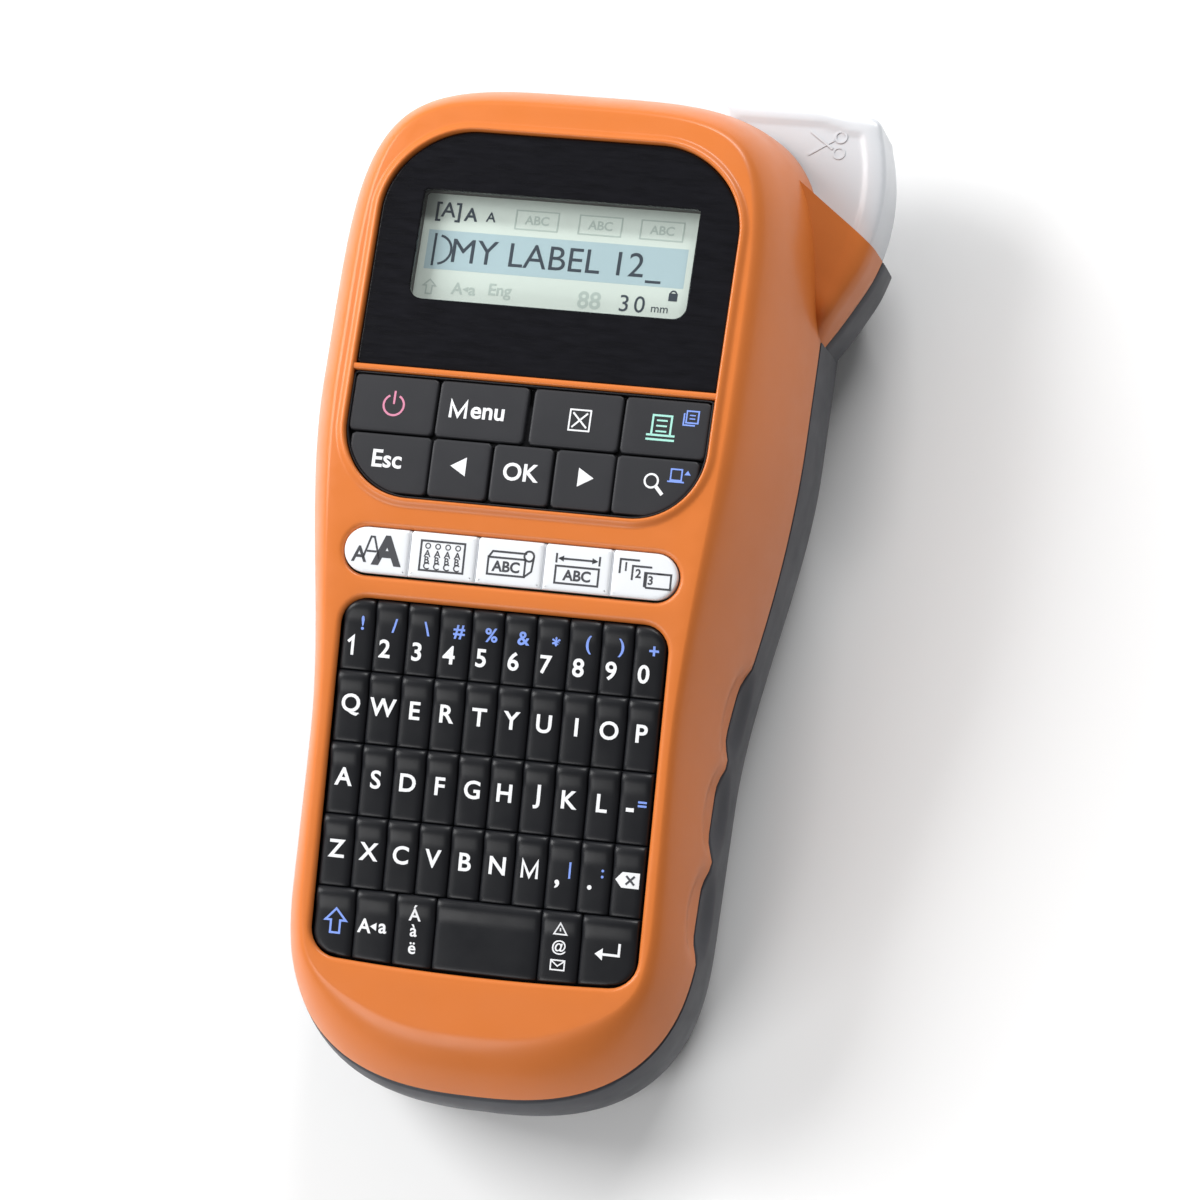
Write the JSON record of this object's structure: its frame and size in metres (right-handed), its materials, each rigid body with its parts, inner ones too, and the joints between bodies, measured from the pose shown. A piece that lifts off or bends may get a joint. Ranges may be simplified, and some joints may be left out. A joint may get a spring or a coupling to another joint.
{
  "type": "label maker",
  "caption": "Hand-held label maker with a display, function pad, letter keypad, side cutter lever, tape cassette, gear train and battery bay.",
  "frame": {"origin": "centre of the back face that it rests on, midway between the ends of the body", "axes": "+X to the right, +Y towards the display end, +Z out of the front face"},
  "size_m": [0.1101, 0.2088, 0.06],
  "materials": {
    "orange_shell": "matte, fine spark texture",
    "dark_case": "matte, fine texture",
    "steel": "bright steel",
    "window": "clear gloss",
    "lcd": "reflective liquid crystal panel",
    "bezel": "gloss black",
    "board": "solder resist",
    "function_rubber": "matte rubber",
    "key_rubber": "matte rubber",
    "white_plastic": "satin white",
    "chassis": "pressed and anodised",
    "gear_plastic": "natural acetal",
    "brass": "turned",
    "ceramic": "glazed ceramic",
    "platen_rubber": "ground rubber",
    "cassette": "satin",
    "tape": "satin film",
    "ribbon": "gloss film",
    "cell": "printed sleeve",
    "contact": "nickel plate",
    "jack": "moulded"
  },
  "bodies": {
    "root": {"front_shell": "orange_shell", "rear_case": "dark_case", "case_screws": "steel", "display_window": "window", "lcd_panel": "lcd", "lcd_holder": "bezel", "display_board": "board", "key_board": "board", "function_mat": "function_rubber", "keypad_mat": "key_rubber", "inner_chassis": "chassis", "lever_pin": "steel", "lever_spring": "steel", "print_head": "ceramic", "head_sink": "chassis", "drive_motor": "steel", "cassette_shell": "cassette", "label_tape": "tape", "batteries": "cell", "battery_contacts": "contact", "dc_jack": "jack"},
    "power_key": {"power_key": "function_rubber"},
    "menu_key": {"menu_key": "function_rubber"},
    "cancel_key": {"cancel_key": "function_rubber"},
    "print_key": {"print_key": "function_rubber"},
    "escape_key": {"escape_key": "function_rubber"},
    "left_key": {"left_key": "function_rubber"},
    "ok_key": {"ok_key": "function_rubber"},
    "right_key": {"right_key": "function_rubber"},
    "preview_key": {"preview_key": "function_rubber"},
    "style_key": {"style_key": "white_plastic"},
    "frame_key": {"frame_key": "white_plastic"},
    "cassette_key": {"cassette_key": "white_plastic"},
    "width_key": {"width_key": "white_plastic"},
    "number_key": {"number_key": "white_plastic"},
    "digit_keys": {"digit_keys": "key_rubber"},
    "upper_keys": {"upper_keys": "key_rubber"},
    "middle_keys": {"middle_keys": "key_rubber"},
    "lower_keys": {"lower_keys": "key_rubber"},
    "shift_key": {"shift_key": "key_rubber"},
    "caps_key": {"caps_key": "key_rubber"},
    "accent_key": {"accent_key": "key_rubber"},
    "space_key": {"space_key": "key_rubber"},
    "symbol_key": {"symbol_key": "key_rubber"},
    "enter_key": {"enter_key": "key_rubber"},
    "back_cover": {"back_cover": "dark_case"},
    "cutter_lever": {"cutter_lever": "white_plastic"},
    "blade": {"blade_carrier": "gear_plastic", "cutter_blade": "steel"},
    "platen": {"platen_roller": "platen_rubber", "platen_shaft": "steel", "platen_gear": "gear_plastic"},
    "motor_pinion": {"motor_pinion": "brass"},
    "reduction_gear": {"reduction_gear": "gear_plastic"},
    "idler_gear": {"idler_gear": "gear_plastic"},
    "ribbon_spindle": {"ribbon_spindle": "gear_plastic", "ribbon_takeup": "ribbon"},
    "tape_roll": {"tape_roll": "tape"},
    "ribbon_supply": {"ribbon_supply": "ribbon"}
  },
  "joints": [
    {"name": "power_press", "type": "slide", "parent": "root", "child": "power_key", "axis": [0, 0.0295, -0.9996], "range_m": [0, 0.0008], "stiffness_N_per_m": 400},
    {"name": "menu_press", "type": "slide", "parent": "root", "child": "menu_key", "axis": [0, 0.0295, -0.9996], "range_m": [0, 0.0008], "stiffness_N_per_m": 400},
    {"name": "cancel_press", "type": "slide", "parent": "root", "child": "cancel_key", "axis": [0, 0.0295, -0.9996], "range_m": [0, 0.0008], "stiffness_N_per_m": 400},
    {"name": "print_press", "type": "slide", "parent": "root", "child": "print_key", "axis": [0, 0.0295, -0.9996], "range_m": [0, 0.0008], "stiffness_N_per_m": 400},
    {"name": "escape_press", "type": "slide", "parent": "root", "child": "escape_key", "axis": [0, 0.0881, -0.9961], "range_m": [0, 0.0008], "stiffness_N_per_m": 400},
    {"name": "left_press", "type": "slide", "parent": "root", "child": "left_key", "axis": [0, 0.0881, -0.9961], "range_m": [0, 0.0008], "stiffness_N_per_m": 400},
    {"name": "ok_press", "type": "slide", "parent": "root", "child": "ok_key", "axis": [0, 0.0881, -0.9961], "range_m": [0, 0.0008], "stiffness_N_per_m": 400},
    {"name": "right_press", "type": "slide", "parent": "root", "child": "right_key", "axis": [0, 0.0881, -0.9961], "range_m": [0, 0.0008], "stiffness_N_per_m": 400},
    {"name": "preview_press", "type": "slide", "parent": "root", "child": "preview_key", "axis": [0, 0.0881, -0.9961], "range_m": [0, 0.0008], "stiffness_N_per_m": 400},
    {"name": "style_press", "type": "slide", "parent": "root", "child": "style_key", "axis": [0, 0.1704, -0.9854], "range_m": [0, 0.0008], "stiffness_N_per_m": 400},
    {"name": "frame_press", "type": "slide", "parent": "root", "child": "frame_key", "axis": [0, 0.1704, -0.9854], "range_m": [0, 0.0008], "stiffness_N_per_m": 400},
    {"name": "cassette_press", "type": "slide", "parent": "root", "child": "cassette_key", "axis": [0, 0.1704, -0.9854], "range_m": [0, 0.0008], "stiffness_N_per_m": 400},
    {"name": "width_press", "type": "slide", "parent": "root", "child": "width_key", "axis": [0, 0.1704, -0.9854], "range_m": [0, 0.0008], "stiffness_N_per_m": 400},
    {"name": "number_press", "type": "slide", "parent": "root", "child": "number_key", "axis": [0, 0.1704, -0.9854], "range_m": [0, 0.0008], "stiffness_N_per_m": 400},
    {"name": "digit_row_press", "type": "slide", "parent": "root", "child": "digit_keys", "axis": [0, 0.2079, -0.9781], "range_m": [0, 0.0008], "stiffness_N_per_m": 900},
    {"name": "upper_row_press", "type": "slide", "parent": "root", "child": "upper_keys", "axis": [0, 0.2079, -0.9781], "range_m": [0, 0.0008], "stiffness_N_per_m": 900},
    {"name": "middle_row_press", "type": "slide", "parent": "root", "child": "middle_keys", "axis": [0, 0.2079, -0.9781], "range_m": [0, 0.0008], "stiffness_N_per_m": 900},
    {"name": "lower_row_press", "type": "slide", "parent": "root", "child": "lower_keys", "axis": [0, 0.2079, -0.9781], "range_m": [0, 0.0008], "stiffness_N_per_m": 900},
    {"name": "shift_press", "type": "slide", "parent": "root", "child": "shift_key", "axis": [0, 0.2079, -0.9781], "range_m": [0, 0.0008], "stiffness_N_per_m": 400},
    {"name": "caps_press", "type": "slide", "parent": "root", "child": "caps_key", "axis": [0, 0.2079, -0.9781], "range_m": [0, 0.0008], "stiffness_N_per_m": 400},
    {"name": "accent_press", "type": "slide", "parent": "root", "child": "accent_key", "axis": [0, 0.2079, -0.9781], "range_m": [0, 0.0008], "stiffness_N_per_m": 400},
    {"name": "space_press", "type": "slide", "parent": "root", "child": "space_key", "axis": [0, 0.2079, -0.9781], "range_m": [0, 0.0008], "stiffness_N_per_m": 400},
    {"name": "symbol_press", "type": "slide", "parent": "root", "child": "symbol_key", "axis": [0, 0.2079, -0.9781], "range_m": [0, 0.0008], "stiffness_N_per_m": 400},
    {"name": "enter_press", "type": "slide", "parent": "root", "child": "enter_key", "axis": [0, 0.2079, -0.9781], "range_m": [0, 0.0008], "stiffness_N_per_m": 400},
    {"name": "cover_lift", "type": "slide", "parent": "root", "child": "back_cover", "axis": [0, 0, -1], "range_m": [0, 0.04]},
    {"name": "lever_press", "type": "hinge", "parent": "root", "child": "cutter_lever", "pos_m": [0.0175, 0.0885, 0.026], "axis": [0, 0, -1], "range_deg": [0, 10], "stiffness_Nm_per_rad": 0.08},
    {"name": "blade_push", "type": "slide", "parent": "root", "child": "blade", "axis": [1, 0, 0], "range_m": [0, 0.0018]},
    {"name": "platen_turn", "type": "hinge", "parent": "root", "child": "platen", "pos_m": [0.0183, 0.076, 0.015], "axis": [0, 0, 1], "continuous": true},
    {"name": "idler_turn", "type": "hinge", "parent": "root", "child": "idler_gear", "pos_m": [0.0037, 0.0732, 0.026], "axis": [0, 0, 1], "continuous": true},
    {"name": "reduction_turn", "type": "hinge", "parent": "root", "child": "reduction_gear", "pos_m": [-0.0054, 0.081, 0.025], "axis": [0, 0, 1], "continuous": true},
    {"name": "pinion_turn", "type": "hinge", "parent": "root", "child": "motor_pinion", "pos_m": [-0.0172, 0.0851, 0.025], "axis": [0, 0, 1], "continuous": true},
    {"name": "spindle_turn", "type": "hinge", "parent": "root", "child": "ribbon_spindle", "pos_m": [-0.0049, 0.0586, 0.015], "axis": [0, 0, 1], "continuous": true},
    {"name": "tape_unwind", "type": "hinge", "parent": "root", "child": "tape_roll", "pos_m": [-0.024, 0.042, 0.0105], "axis": [0, 0, 1], "continuous": true},
    {"name": "ribbon_unwind", "type": "hinge", "parent": "root", "child": "ribbon_supply", "pos_m": [0.011, 0.044, 0.0105], "axis": [0, 0, 1], "continuous": true}
  ],
  "couplings": [
    {"joint": "blade_push", "follows": "lever_press", "m_per_rad": 0.009626},
    {"joint": "idler_turn", "follows": "platen_turn", "ratio": -0.66667},
    {"joint": "reduction_turn", "follows": "platen_turn", "ratio": 2},
    {"joint": "pinion_turn", "follows": "platen_turn", "ratio": -8},
    {"joint": "spindle_turn", "follows": "platen_turn", "ratio": 0.75},
    {"joint": "tape_unwind", "follows": "platen_turn", "ratio": -0.24096},
    {"joint": "ribbon_unwind", "follows": "platen_turn", "ratio": -0.57143}
  ]
}
